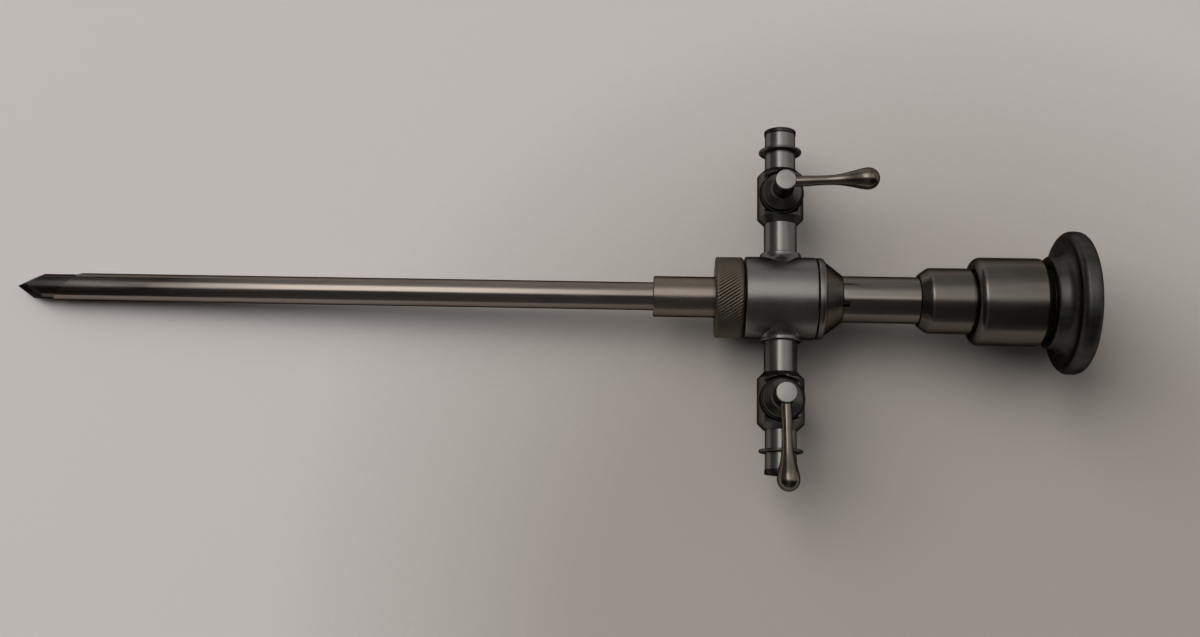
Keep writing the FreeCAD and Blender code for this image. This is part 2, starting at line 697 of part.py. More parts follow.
def handle_ferrule():
    inner = FERRULE_SPIGOT_RADIUS + BRAZE_GAP
    rod_bore = ROD_RADIUS + BRAZE_GAP
    seat = FERRULE_START + HANDLE_SEAT + BRAZE_GAP
    return turned([
        (FERRULE_START, inner),
        (FERRULE_START, FERRULE_START_RADIUS, COLLAR_CHAMFER / 2),
        (FERRULE_START + FERRULE_CHAMFER, FERRULE_RADIUS, 1.0),
        (GRIP_START - UNDERCUT_WIDTH, FERRULE_RADIUS),
        (GRIP_START - UNDERCUT_WIDTH, FERRULE_RADIUS - UNDERCUT_DEPTH),
        (GRIP_START, FERRULE_RADIUS - UNDERCUT_DEPTH),
        (GRIP_START, FERRULE_SPIGOT_RADIUS),
        (GRIP_START + HANDLE_SEAT, FERRULE_SPIGOT_RADIUS),
        (GRIP_START + HANDLE_SEAT, rod_bore),
        (seat, rod_bore),
        (seat, inner),
    ])


def handle_grip():
    front_bore = FERRULE_SPIGOT_RADIUS + BRAZE_GAP
    seat = GRIP_START + HANDLE_SEAT + BRAZE_GAP
    rod_bore = ROD_RADIUS + BRAZE_GAP
    rod_seat = GRIP_START + ROD_END + BRAZE_GAP
    grip = turned([
        (GRIP_START, 0),
        (GRIP_START, GRIP_RADIUS, GRIP_ROUND),
        (GRIP_END - GRIP_REAR_CHAMFER, GRIP_RADIUS),
        (GRIP_END, GRIP_RADIUS - GRIP_REAR_DROP),
        (GRIP_END, 0),
    ])
    grip = grip.cut(rod(front_bore, GRIP_START - 1, seat))
    grip = grip.cut(rod(rod_bore, GRIP_START - 1, rod_seat))
    return grip.cut(rod(STUD_RADIUS + BRAZE_GAP, GRIP_END - STUD_REACH - BRAZE_GAP, GRIP_END + 1))


def palm_knob():
    """Drum and swept-back disc, with a slightly domed back for the palm."""
    knob = turned([
        (KNOB_START, 0),
        (KNOB_START, GROOVE_RADIUS),
        (DRUM_START, GROOVE_RADIUS),
        (DRUM_START, DRUM_RADIUS, DRUM_ROUND),
        (DISC_ROOT, DRUM_RADIUS, COVE_ROUND),
        (DISC_FRONT, DISC_RADIUS, LIP_ROUND),
        (DISC_BACK, DISC_RADIUS, PALM_ROUND),
        (DISC_BACK + DOME_HEIGHT, DISC_RADIUS / 2, DISC_RADIUS),
        (DISC_BACK + DOME_HEIGHT, 0),
    ])
    return knob.cut(rod(STUD_RADIUS + BRAZE_GAP, KNOB_START - 1, KNOB_START + STUD_REACH + BRAZE_GAP))


def knob_stud():
    return rod(STUD_RADIUS, KNOB_START - STUD_REACH, KNOB_START + STUD_REACH)


def all_pieces():
    """Every piece by its name."""
    front_seal, rear_seal = seal_places()
    pieces = {
        "sheath_tube": sheath_tube(),
        "shaft_collar": shaft_collar(),
        "sheath_core": sheath_core(),
        "hub_front_seal": hub_seal(front_seal),
        "hub_rear_seal": hub_seal(rear_seal),
        "rod_seal": rod_seal(),
        "coupling_cone": coupling_cone(),
        "index_pin": index_pin(),
        "lock_nut": lock_nut(),
        "thrust_washer": thrust_washer(),
        "irrigation_hub": irrigation_hub(),
        "trocar_tip": trocar_tip(),
        "obturator_rod": obturator_rod(),
        "coupling_collar": coupling_collar(),
        "snap_ring": snap_ring(),
        "handle_neck": handle_neck(),
        "handle_ferrule": handle_ferrule(),
        "handle_grip": handle_grip(),
        "palm_knob": palm_knob(),
        "knob_stud": knob_stud(),
    }
    for name, side, angle in (
        ("inflow", 1, INFLOW_LEVER_ANGLE),
        ("outflow", -1, OUTFLOW_LEVER_ANGLE),
    ):
        pieces[name + "_neck"] = cock_neck(side)
        pieces[name + "_cock_body"] = cock_body(side)
        pieces[name + "_connector"] = connector(side)
        pieces[name + "_plug"] = plug(side, angle)
        pieces[name + "_lever"] = lever(side, angle)
        pieces[name + "_spring_washer"] = spring_washer(side)
        pieces[name + "_plug_nut"] = plug_nut(side)
    return pieces


def main():
    os.makedirs("parts", exist_ok=True)
    for name, shape in all_pieces().items():
        if len(shape.Solids) != 1 or not shape.isValid():
            raise ValueError(f"{name} is {len(shape.Solids)} solids, valid: {shape.isValid()}")
        shape.Solids[0].exportStep(os.path.join("parts", name + ".step"))
        box = shape.BoundBox
        print(f"{name:24s} {shape.Volume:9.2f} mm3  x {box.XMin:8.2f} to {box.XMax:8.2f}")
    print(f"port axis at x {PORT_X:.3f}, plug axes at y {COCK_CENTRE:.3f}, mouths at y {MOUTH:.3f}")


main()
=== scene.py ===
"""Endoscope sheath with its obturator locked in. Pieces are drawn in millimetres and linked in metres."""
import math

import bmesh
import bpy
from mathutils import Matrix, Vector


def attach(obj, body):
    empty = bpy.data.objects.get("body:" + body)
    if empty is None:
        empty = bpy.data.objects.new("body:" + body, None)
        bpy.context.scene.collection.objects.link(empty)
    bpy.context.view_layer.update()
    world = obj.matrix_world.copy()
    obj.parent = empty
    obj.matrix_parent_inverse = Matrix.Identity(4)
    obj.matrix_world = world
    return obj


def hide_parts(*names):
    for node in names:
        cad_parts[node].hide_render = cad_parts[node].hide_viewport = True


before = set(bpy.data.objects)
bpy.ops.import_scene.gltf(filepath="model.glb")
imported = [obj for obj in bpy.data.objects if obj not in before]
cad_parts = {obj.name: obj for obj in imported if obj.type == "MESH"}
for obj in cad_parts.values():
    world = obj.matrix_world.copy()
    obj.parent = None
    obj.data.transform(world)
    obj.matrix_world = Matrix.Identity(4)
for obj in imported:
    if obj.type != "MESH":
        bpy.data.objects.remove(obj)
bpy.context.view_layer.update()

MM = 0.001
AXIS = Vector((0, 0, 0))
X_AXIS = Vector((1, 0, 0))
Y_AXIS = Vector((0, 1, 0))
Z_AXIS = Vector((0, 0, 1))
ROUND_STEPS = 128
TUBE_STEPS = 96
FINE_STEPS = 64
LEVER_STEPS = 32
BRAZE_GAP = 0.03

# Sheath
TUBE_RADIUS = 3.0
TUBE_BORE = 2.8
TUBE_SEAT_RADIUS = 3.3
TUBE_SEAT_END = 20.6
TUBE_LENGTH = 130.6
BEAK_SLANT = 6.2
COLLAR_RADIUS = 4.35
COLLAR_LENGTH = 14.6
CONE_START = 34.3
CONE_END = 39.6
CONE_RADIUS = 8.65
CONE_RIM = 1.7
CONE_SEAT = 2.4
CONE_BORE = 4.33
CONE_SHOULDER = 0.75
CONE_TAIL_RADIUS = 5.15
COUPLING_BORE = 3.7

# Lock nut
NUT_START = 13.09
NUT_END = 19.12
NUT_RADIUS = 8.6
NUT_CHAMFER = 0.3
NUT_BORE = 5.33
NUT_FRONT_BORE = 4.55
NUT_FRONT_LAND = 6.4
NUT_BACK_LAND = 6.6
NUT_WALL = 1.1
KNURL_COUNT = 72
KNURL_DEPTH = 0.14
KNURL_POINTS = 4
KNURL_RINGS = 10
KNURL_FROM = 0.05
KNURL_SHARE = 0.83
KNURL_LEAD = 35.0

# Irrigation hub and stopcocks
HUB_START = 19.3
HUB_END = 34.15
HUB_RADIUS = 8.75
HUB_BORE = 5.58
BOSS_RADIUS = 4.35
BOSS_HEIGHT = 9.5
BOSS_FOOT_RADIUS = 6.7
BOSS_RING = 1.2
PORT_X = 26.95
NECK_TUBE_RADIUS = 3.5
COCK_NEAR = 16.1
COCK_CENTRE = 22.1
MOUTH = 37.3
CONNECTOR_RADIUS = 3.28
LIP_RADIUS = 3.42
MOUTH_RADIUS = 2.05
MOUTH_DEPTH = 7.5
FLOW_RADIUS = 1.4
FLANGE_RADIUS = 4.6
CONNECTOR_START = 26.9
FLANGE_CENTRE = 32.5
FLANGE_THICKNESS = 0.8
LIP_LENGTH = 0.9
SADDLE_HEIGHT = 3.3
SHADOW_RING_BORE = 3.25
SHADOW_RING_RADIUS = 4.7
SHADOW_RING_HEIGHT = 0.75
PLUG_TOP_RADIUS = 3.1
PLUG_TAIL_RADIUS = 2.75
PLUG_TAIL_END = -4.37
PLUG_SCREW_RADIUS = 1.5
PLUG_SCREW_END = -7.5
HEAD_LIFT = 1.1
HEAD_RADIUS = 4.1
HEAD_RIM = 1.0
HEAD_CONE = 1.2
STEM_RADIUS = 2.15
STEM_TOP = 13.2
BUTTON_HEIGHT = 0.6
LEVER_HEIGHT = 11.37
LEVER_TILT = 5.0
LEVER_REACHES = {"inflow": 19.25, "outflow": 19.68}
LEVER_TENON_START = 0.6
LEVER_TENON_RADIUS = 0.75
LEVER_ROOT_START = 1.85
LEVER_ROOT = 1.12
LEVER_BULB = 2.38
LEVER_ANGLES = {"inflow": 1.5, "outflow": -89.0}

# Obturator point
POINT_END = -139.3
POINT_ROOT = -122.0
POINT_RADIUS = 2.7
POINT_SIDES = 3
POINT_SLOPE = 23.0
POINT_FIRST_SIDE = 60.0

# Handle
HANDLE_START = 39.63
NECK_RADIUS = 4.95
ROD_BORE = 2.73
SPIGOT_RADIUS = 4.0
SPIGOT_LENGTH = 4.0
NOTCH_DEPTH = 1.3
NOTCH_HALF_ANGLE = 7.0
PIN_ANGLE = -24.0
FERRULE_START = 55.58
FERRULE_RADIUS = 6.95
FERRULE_NOSE_RADIUS = 5.5
FERRULE_NOSE = 2.0
REBATE_LENGTH = 0.5
REBATE_DEPTH = 0.4
GRIP_START = 66.58
GRIP_END = 81.88
GRIP_RADIUS = 9.3
GRIP_TAPER_LENGTH = 1.6
GRIP_TAPER_DEPTH = 0.95
ROD_SEAT = 6.03
ROD_VENT = 0.5
STUD_BORE = 2.53
STUD_DEPTH = 4.53
KNOB_NECK_RADIUS = 7.7
DRUM_START = 82.23
DRUM_RADIUS = 9.75
DISC_LIP = 85.28
DISC_CHAMFER = 1.0
DISC_ROOT = 87.13
DISC_EDGE = 89.43
DISC_BACK = 89.63
DISC_RADIUS = 15.0
DOME_HEIGHT = 0.5

# Table, light and camera
RIM_REST = Vector((86.6, 0, -15.05))
TIP_REST = Vector((-129.0, 0, -3.05))
TABLE_REACH = 900
# Painted shade on the table: its centre, the distance where it starts to fade, where it is gone, and its
# colour
PAINTED_SHADE_CENTRE = Vector((62, -68, -15))
PAINTED_SHADE_START = 60
PAINTED_SHADE_END = 160
PAINTED_SHADE_COLOUR = (0.325, 0.293, 0.266)
PALE_TABLE = (0.492, 0.458, 0.441)
LAMP_PLACE = Vector((-1500, 1100, 1900))
LAMP_SIZE = 2600
LAMP_WATTS = 84
SENSOR_WIDTH = 36
PICTURE_WIDTH = 1200
FOCAL_PIXELS = 1225
VIEW_ROLL = -12.25
VIEW_PITCH = -3.08
VIEW_SLOPE = -1.01
HUB_SEEN_AT = Vector((38.26, 4.26, -259.88))


# Making pieces

def link_mesh(name, bm, material, smooth_angle=40):
    """A finished piece from a bmesh drawn in millimetres."""
    bmesh.ops.recalc_face_normals(bm, faces=bm.faces)
    bmesh.ops.scale(bm, vec=(MM, MM, MM), verts=bm.verts)
    mesh = bpy.data.meshes.new(name)
    bm.to_mesh(mesh)
    bm.free()
    mesh.shade_smooth()
    mesh.set_sharp_from_angle(angle=math.radians(smooth_angle))
    piece = bpy.data.objects.new(name, mesh)
    bpy.context.scene.collection.objects.link(piece)
    mesh.materials.append(material)
    weighted = piece.modifiers.new("even shading", "WEIGHTED_NORMAL")
    weighted.keep_sharp = True
    return piece


def stand_for(piece, node, body):
    """Lets a piece ride on its body in the place of a CAD piece, and hides that one."""
    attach(piece, body)
    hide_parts(node)


def profile(bm, outline, start, along, across):
    """Edges of an outline. Each corner is its place along the axis, its radius and, where it is rounded,
    how far back the rounding starts."""
    corners, roundings = [], []
    for place, radius, *rounding in outline:
        corners.append(bm.verts.new(start + along * place + across * radius))
        roundings.append(rounding[0] if rounding else 0)
    # An outline that runs from the axis to the axis stays open, any other is closed
    closed = outline[0][1] > 0 or outline[-1][1] > 0
    for i in range(len(corners) - (0 if closed else 1)):
        bm.edges.new((corners[i], corners[(i + 1) % len(corners)]))
    for corner, rounding in zip(corners, roundings):
        if rounding:
            bmesh.ops.bevel(
                bm, geom=[corner], offset=rounding, offset_type="OFFSET", affect="VERTICES",
                segments=5, profile=0.5, material=-1,
            )


def turned(outline, start=AXIS, along=X_AXIS, across=Y_AXIS, steps=ROUND_STEPS):
    """A piece turned in the lathe about an axis."""
    bm = bmesh.new()
    profile(bm, outline, start, along, across)
    bmesh.ops.spin(
        bm, geom=bm.verts[:] + bm.edges[:], cent=start, axis=along,
        angle=2 * math.pi, steps=steps, use_merge=True,
    )
    bmesh.ops.remove_doubles(bm, verts=bm.verts, dist=1e-4)
    bmesh.ops.dissolve_degenerate(bm, edges=bm.edges, dist=1e-5)
    return bm


def cut_away(bm, place, facing):
    """Cuts off all that lies in front of a plane, and hands back the edges of the cut."""
    cut = bmesh.ops.bisect_plane(
        bm, geom=bm.verts[:] + bm.edges[:] + bm.faces[:], plane_co=place, plane_no=facing, clear_outer=True,
    )
    return [part for part in cut["geom_cut"] if isinstance(part, bmesh.types.BMEdge)]


def draw_out(bm, ring):
    """Draws a ring of edges out into a new ring, and hands back its vertices and edges."""
    made = bmesh.ops.extrude_edge_only(bm, edges=ring)
    verts = [part for part in made["geom"] if isinstance(part, bmesh.types.BMVert)]
    edges = [part for part in made["geom"] if isinstance(part, bmesh.types.BMEdge)]
    return verts, [edge for edge in edges if all(v in verts for v in edge.verts)]


def smooth_copy(node, body, material, smooth_angle=28):
    """The CAD piece with its loose triangles joined, so that its curves shade smoothly."""
    bm = bmesh.new()
    bm.from_mesh(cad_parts[node].data)
    bmesh.ops.scale(bm, vec=(1 / MM, 1 / MM, 1 / MM), verts=bm.verts)
    bmesh.ops.remove_doubles(bm, verts=bm.verts, dist=2e-4)
    piece = link_mesh(node + "_finished", bm, material, smooth_angle)
    stand_for(piece, node, body)


# Finishes

class Finish:
    """A metal or rubber material put together from nodes on object coordinates."""

    def __init__(self, name):
        self.material = bpy.data.materials.new(name)
        self.material.use_nodes = True
        self.nodes = self.material.node_tree.nodes
        self.links = self.material.node_tree.links
        self.shader = self.nodes["Principled BSDF"]
        self.place = self.nodes.new("ShaderNodeTexCoord").outputs["Object"]

    def stretched(self, scale):
        mapping = self.nodes.new("ShaderNodeMapping")
        mapping.inputs["Scale"].default_value = scale
        self.links.new(self.place, mapping.inputs["Vector"])
        return mapping.outputs["Vector"]

    def noise(self, scale, detail, roughness):
        """Noise whose scale is so many waves in a metre along X, Y and Z."""
        texture = self.nodes.new("ShaderNodeTexNoise")
        texture.inputs["Scale"].default_value = 1
        texture.inputs["Detail"].default_value = detail
        texture.inputs["Roughness"].default_value = roughness
        self.links.new(self.stretched(scale), texture.inputs["Vector"])
        return texture.outputs["Fac"]

    def spread(self, value, low, high, start=0.3, end=0.7):
        ranged = self.nodes.new("ShaderNodeMapRange")
        ranged.inputs["From Min"].default_value = start
        ranged.inputs["From Max"].default_value = end
        ranged.inputs["To Min"].default_value = low
        ranged.inputs["To Max"].default_value = high
        self.links.new(value, ranged.inputs["Value"])
        return ranged.outputs["Result"]

    def blend_colours(self, value, first, second):
        ramp = self.nodes.new("ShaderNodeValToRGB")
        ramp.color_ramp.elements[0].position = 0.35
        ramp.color_ramp.elements[0].color = (*first, 1)
        ramp.color_ramp.elements[1].position = 0.68
        ramp.color_ramp.elements[1].color = (*second, 1)
        self.links.new(value, ramp.inputs["Fac"])
        return ramp.outputs["Color"]

    def add(self, first, second, share):
        """First plus a share of second."""
        node = self.nodes.new("ShaderNodeMath")
        node.operation = "MULTIPLY_ADD"
        self.links.new(second, node.inputs[0])
        node.inputs[1].default_value = share
        self.links.new(first, node.inputs[2])
        return node.outputs["Value"]

    def finish(self, colour, roughness, height=None, strength=0.1, depth=0.02):
        self.links.new(colour, self.shader.inputs["Base Color"])
        self.links.new(roughness, self.shader.inputs["Roughness"])
        if height is not None:
            bump = self.nodes.new("ShaderNodeBump")
            bump.inputs["Strength"].default_value = strength
            bump.inputs["Distance"].default_value = depth * MM
            self.links.new(height, bump.inputs["Height"])
            self.links.new(bump.outputs["Normal"], self.shader.inputs["Normal"])
        return self.material


def polished_steel(
    name, first, second, smooth, rough, turning=(9000, 60, 60), wear=(120, 500, 500), edge=0.04,
):
    """Turned and polished steel: fine rings round the axis, and faint cloudy handling marks."""
    look = Finish(name)
    look.shader.inputs["Metallic"].default_value = 1
    look.shader.inputs["Specular Tint"].default_value = (edge, edge, edge, 1)
    rings = look.noise(turning, 4, 0.7)
    clouds = look.noise(wear, 4, 0.6)
    colour = look.blend_colours(clouds, first, second)
    mixed = look.add(clouds, rings, 0.5)
    return look.finish(colour, look.spread(mixed, smooth, rough, 0.55, 0.95), rings, 0.06, 0.01)


def blasted_steel(name, first, second, smooth, rough, edge=0.04):
    """Bead-blasted steel: an even fine grain with faint stains."""
    look = Finish(name)
    look.shader.inputs["Metallic"].default_value = 1
    look.shader.inputs["Specular Tint"].default_value = (edge, edge, edge, 1)
    grain = look.noise((9000, 9000, 9000), 3, 0.6)
    stains = look.noise((160, 160, 160), 4, 0.6)
    colour = look.blend_colours(stains, first, second)
    mixed = look.add(stains, grain, 0.35)
    return look.finish(colour, look.spread(mixed, smooth, rough, 0.45, 0.9), grain, 0.25, 0.02)


def ring_rubber(name):
    look = Finish(name)
    look.shader.inputs["Specular IOR Level"].default_value = 0.35
    dust = look.noise((1500, 1500, 1500), 4, 0.6)
    colour = look.blend_colours(dust, (0.012, 0.012, 0.013), (0.035, 0.034, 0.033))
    return look.finish(colour, look.spread(dust, 0.5, 0.75), dust, 0.2, 0.02)


ALONG_TUBE = {"turning": (60, 6000, 6000), "wear": (60, 420, 420)}
ROUND_STEM = {"turning": (60, 60, 9000), "wear": (400, 400, 400)}
ALL_WAYS = {"turning": (300, 300, 300), "wear": (300, 300, 300)}
TUBE_STEEL = polished_steel(
    "tube_steel", (0.250, 0.214, 0.186), (0.300, 0.262, 0.234), 0.13, 0.24, **ALONG_TUBE,
)
COLLAR_STEEL = polished_steel(
    "collar_steel", (0.235, 0.195, 0.162), (0.275, 0.235, 0.200), 0.20, 0.30,
)
NUT_STEEL = blasted_steel(
    "nut_steel", (0.150, 0.124, 0.094), (0.195, 0.166, 0.132), 0.42, 0.55, 0.6,
)
HUB_STEEL = blasted_steel(
    "hub_steel", (0.225, 0.215, 0.198), (0.270, 0.260, 0.243), 0.27, 0.36,
)
COCK_STEEL = blasted_steel(
    "cock_steel", (0.135, 0.131, 0.121), (0.190, 0.186, 0.172), 0.28, 0.40,
)
PLUG_STEEL = polished_steel(
    "plug_steel", (0.255, 0.248, 0.232), (0.305, 0.298, 0.282), 0.26, 0.38, **ROUND_STEM,
)
HANDLE_STEEL = polished_steel(
    "handle_steel", (0.165, 0.146, 0.128), (0.190, 0.171, 0.152), 0.22, 0.27, edge=0.2,
)
SHANK_STEEL = polished_steel(
    "shank_steel", (0.185, 0.164, 0.144), (0.220, 0.199, 0.177), 0.14, 0.22, edge=0.2,
)
CONE_STEEL = polished_steel(
    "cone_steel", (0.130, 0.112, 0.094), (0.180, 0.159, 0.136), 0.24, 0.34,
)
KNOB_STEEL = polished_steel(
    "knob_steel", (0.080, 0.079, 0.074), (0.115, 0.114, 0.108), 0.36, 0.48, edge=0.25,
)
# Near-black steel for the mouth's lip: painted shade, the dark ring seen round the port's mouth
LIP_PAINTED_SHADE_STEEL = polished_steel(
    "lip_painted_shade_steel", (0.040, 0.039, 0.036), (0.070, 0.068, 0.063), 0.28, 0.40,
)
# Near-black steel that paints shade: the shadow in the index pin's notch and the shadow gap under each plug
# head
PAINTED_SHADE_STEEL = polished_steel(
    "painted_shade_steel", (0.012, 0.012, 0.012), (0.025, 0.024, 0.022), 0.35, 0.50,
)
LEVER_STEEL = polished_steel(
    "lever_steel", (0.180, 0.150, 0.122), (0.235, 0.202, 0.168), 0.17, 0.27, **ALL_WAYS,
)
TIP_STEEL = polished_steel(
    "tip_steel", (0.105, 0.097, 0.088), (0.150, 0.139, 0.128), 0.18, 0.30, **ALONG_TUBE,
)
INNER_STEEL = polished_steel(
    "inner_steel", (0.230, 0.220, 0.205), (0.290, 0.280, 0.265), 0.20, 0.34,
)
RUBBER = ring_rubber("seal_rubber")


# Sheath

def working_tube():
    """Thin-walled tube with a slanted mouth, its long lip on the outflow side."""
    bm = turned([
        (-TUBE_LENGTH, TUBE_BORE),
        (-TUBE_LENGTH, TUBE_RADIUS),
        (0, TUBE_RADIUS),
        (0, TUBE_SEAT_RADIUS),
        (TUBE_SEAT_END, TUBE_SEAT_RADIUS),
        (TUBE_SEAT_END, TUBE_BORE),
    ], steps=TUBE_STEPS)
    slope = BEAK_SLANT / (2 * TUBE_RADIUS)
    middle = Vector((-TUBE_LENGTH + BEAK_SLANT / 2, 0, 0))
    facing = Vector((-1, slope, 0)).normalized()
    lip = set(bmesh.ops.bridge_loops(bm, edges=cut_away(bm, middle, facing))["faces"])
    border = {edge for face in lip for edge in face.edges if len(set(edge.link_faces) - lip) == 1}
    bmesh.ops.bevel(
        bm, geom=list(border), offset=0.05, offset_type="OFFSET", affect="EDGES",
        segments=2, profile=0.5, material=-1,
    )
    stand_for(link_mesh("working_tube", bm, TUBE_STEEL), "sheath_tube", "sheath")


def collar():
    bm = turned([
        (0, TUBE_SEAT_RADIUS + BRAZE_GAP),
        (0, COLLAR_RADIUS, 0.3),
        (COLLAR_LENGTH, COLLAR_RADIUS),
        (COLLAR_LENGTH, TUBE_SEAT_RADIUS + BRAZE_GAP),
    ])
    stand_for(link_mesh("stepped_collar", bm, COLLAR_STEEL), "shaft_collar", "sheath")


def cone():
    """Receiver behind the hub: a bright rounded rim and a dark cone down to the shank."""
    seam, seat = CONE_START + CONE_RIM, CONE_START + CONE_SEAT
    rim = turned([
        (CONE_START, CONE_BORE),
        (CONE_START, CONE_RADIUS, 0.25),
        (seam, CONE_RADIUS, 0.9),
        (seam, CONE_BORE),
    ])
    stand_for(link_mesh("receiver_rim", rim, HUB_STEEL), "coupling_cone", "sheath")
    body = turned([
        (seam, CONE_BORE),
        (seam, CONE_RADIUS - CONE_SHOULDER),
        (CONE_END, CONE_TAIL_RADIUS, 0.15),
        (CONE_END, COUPLING_BORE, 0.2),
        (seat, COUPLING_BORE),
        (seat, CONE_BORE),
    ])
    stand_for(link_mesh("receiver_cone", body, CONE_STEEL), "coupling_cone", "sheath")


def knurled_nut():
    """Nut whose rim is cut by slanting grooves, square at the front and rounded at the back."""
    bm = bmesh.new()
    length = NUT_END - NUT_START
    points = KNURL_POINTS * KNURL_COUNT
    bmesh.ops.create_circle(bm, cap_ends=False, radius=NUT_RADIUS - NUT_CHAMFER, segments=points)
    bmesh.ops.rotate(bm, cent=AXIS, matrix=Matrix.Rotation(math.pi / 2, 3, "Y"), verts=bm.verts)
    bmesh.ops.translate(bm, vec=X_AXIS * NUT_START, verts=bm.verts)
    first_edges = bm.edges[:]
    edges = first_edges
    # Rings of the rim: the share of the nut's length, and how far below the full radius
    knurled = [KNURL_FROM + KNURL_SHARE * i / KNURL_RINGS for i in range(KNURL_RINGS + 1)]
    places = [0.02] + knurled + [0.93, 0.975, 1.0]
    drops = [0.08] + [0] * len(knurled) + [0.16, 0.42, 0.8]
    turn_each = length * math.tan(math.radians(KNURL_LEAD)) / NUT_RADIUS
    last_place = 0
    for place, drop in zip(places, drops):
        verts, edges = draw_out(bm, edges)
        bmesh.ops.translate(bm, vec=X_AXIS * length * (place - last_place), verts=verts)
        twist = Matrix.Rotation(-turn_each * (place - last_place), 3, "X")
        bmesh.ops.rotate(bm, cent=AXIS, matrix=twist, verts=verts)
        last_place = place
        depth = KNURL_DEPTH if drop == 0 else 0
        for vert in verts:
            out = Vector((0, vert.co.y, vert.co.z)).normalized()
            angle = math.atan2(vert.co.z, vert.co.y) + turn_each * place
            in_groove = round(angle * points / (2 * math.pi)) % KNURL_POINTS == 0
            vert.co = X_AXIS * vert.co.x + out * (NUT_RADIUS - drop - depth * in_groove)

    def end_face(edges, place, radii):
        for radius in radii:
            verts, edges = draw_out(bm, edges)
            for vert in verts:
                out = Vector((0, vert.co.y, vert.co.z)).normalized()
                vert.co = X_AXIS * place + out * radius
        return edges

    back_bore = end_face(edges, NUT_END, (NUT_BACK_LAND, NUT_BORE))
    front_bore = end_face(first_edges, NUT_START, (NUT_FRONT_LAND, NUT_FRONT_BORE))
    verts, front_bore = draw_out(bm, front_bore)
    bmesh.ops.translate(bm, vec=X_AXIS * NUT_WALL, verts=verts)
    bmesh.ops.bridge_loops(bm, edges=front_bore + back_bore)
    stand_for(link_mesh("knurled_nut", bm, NUT_STEEL, 50), "lock_nut", "clamp_nut")


# Irrigation hub and stopcocks

def hub_barrel():
    """Barrel, and on each side the pad that a neck tube stands on."""
    barrel = turned([
        (HUB_START, HUB_BORE),
        (HUB_START, HUB_RADIUS, 0.35),
        (HUB_END, HUB_RADIUS, 0.35),
        (HUB_END, HUB_BORE),
    ])
    stand_for(link_mesh("hub_barrel", barrel, HUB_STEEL), "irrigation_hub", "irrigation_block")
    for name, side in (("inflow", 1), ("outflow", -1)):
        pad = turned([
            (HUB_BORE, FLOW_RADIUS),
            (HUB_BORE, BOSS_FOOT_RADIUS),
            (BOSS_HEIGHT - BOSS_RING, BOSS_RADIUS + 0.05, 0.7),
            (BOSS_HEIGHT, BOSS_RADIUS, 0.2),
            (BOSS_HEIGHT, FLOW_RADIUS),
        ], X_AXIS * PORT_X, Y_AXIS * side, X_AXIS, FINE_STEPS)
        piece = link_mesh(name + "_pad", pad, HUB_STEEL)
        stand_for(piece, "irrigation_hub", "irrigation_block")


def port_housing(name, side):
    """Neck tube, stopcock body with a black ring round the plug as painted shadow of the gap under its
    head, and the port with its flange and a near-black lip as painted shade at the mouth.
    """
    body = "irrigation_block"
    start, outward = X_AXIS * PORT_X, Y_AXIS * side
    neck = turned([
        (BOSS_HEIGHT, FLOW_RADIUS),
        (BOSS_HEIGHT, NECK_TUBE_RADIUS),
        (COCK_NEAR, NECK_TUBE_RADIUS),
        (COCK_NEAR, FLOW_RADIUS),
    ], start, outward, X_AXIS, FINE_STEPS)
    stand_for(link_mesh(name + "_neck_tube", neck, HUB_STEEL), name + "_neck", body)
    smooth_copy(name + "_cock_body", body, COCK_STEEL)
    # Painted shadow: a black ring under the plug's head stands for the shadow in the gap round the head
    painted_shadow_ring = turned([
        (SADDLE_HEIGHT - 0.3, SHADOW_RING_BORE),
        (SADDLE_HEIGHT - 0.3, SHADOW_RING_RADIUS),
        (SADDLE_HEIGHT + SHADOW_RING_HEIGHT, SHADOW_RING_RADIUS, 0.3),
        (SADDLE_HEIGHT + SHADOW_RING_HEIGHT, SHADOW_RING_BORE),
    ], start + outward * COCK_CENTRE, Z_AXIS, X_AXIS, FINE_STEPS)
    stand_for(link_mesh(name + "_painted_shadow_ring", painted_shadow_ring, PAINTED_SHADE_STEEL), name + "_cock_body", body)
    bore_end = MOUTH - MOUTH_DEPTH
    port = turned([
        (CONNECTOR_START, FLOW_RADIUS),
        (CONNECTOR_START, CONNECTOR_RADIUS),
        (MOUTH - LIP_LENGTH, CONNECTOR_RADIUS),
        (MOUTH - LIP_LENGTH, MOUTH_RADIUS),
        (bore_end, MOUTH_RADIUS),
        (bore_end - (MOUTH_RADIUS - FLOW_RADIUS), FLOW_RADIUS),
    ], start, outward, X_AXIS, FINE_STEPS)
    flange_near = FLANGE_CENTRE - FLANGE_THICKNESS / 2
    flange_far = FLANGE_CENTRE + FLANGE_THICKNESS / 2
    flange = turned([
        (flange_near, CONNECTOR_RADIUS - 0.1),
        (flange_near + 0.1, FLANGE_RADIUS, 0.25),
        (flange_far - 0.1, FLANGE_RADIUS, 0.25),
        (flange_far, CONNECTOR_RADIUS - 0.1),
    ], start, outward, X_AXIS, FINE_STEPS)
    # Painted shade: the lip is near-black for the dark ring round the mouth
    lip = turned([
        (MOUTH - LIP_LENGTH - 0.25, CONNECTOR_RADIUS - 0.1),
        (MOUTH - LIP_LENGTH, LIP_RADIUS, 0.1),
        (MOUTH, LIP_RADIUS, 0.2),
        (MOUTH, MOUTH_RADIUS, 0.2),
        (MOUTH - LIP_LENGTH, MOUTH_RADIUS),
        (MOUTH - LIP_LENGTH, CONNECTOR_RADIUS - 0.1),
    ], start, outward, X_AXIS, FINE_STEPS)
    parts = (("_port", port, HUB_STEEL), ("_flange", flange, COCK_STEEL), ("_mouth_lip", lip, LIP_PAINTED_SHADE_STEEL))
    for ending, bm, steel in parts:
        stand_for(link_mesh(name + ending, bm, steel), name + "_connector", body)


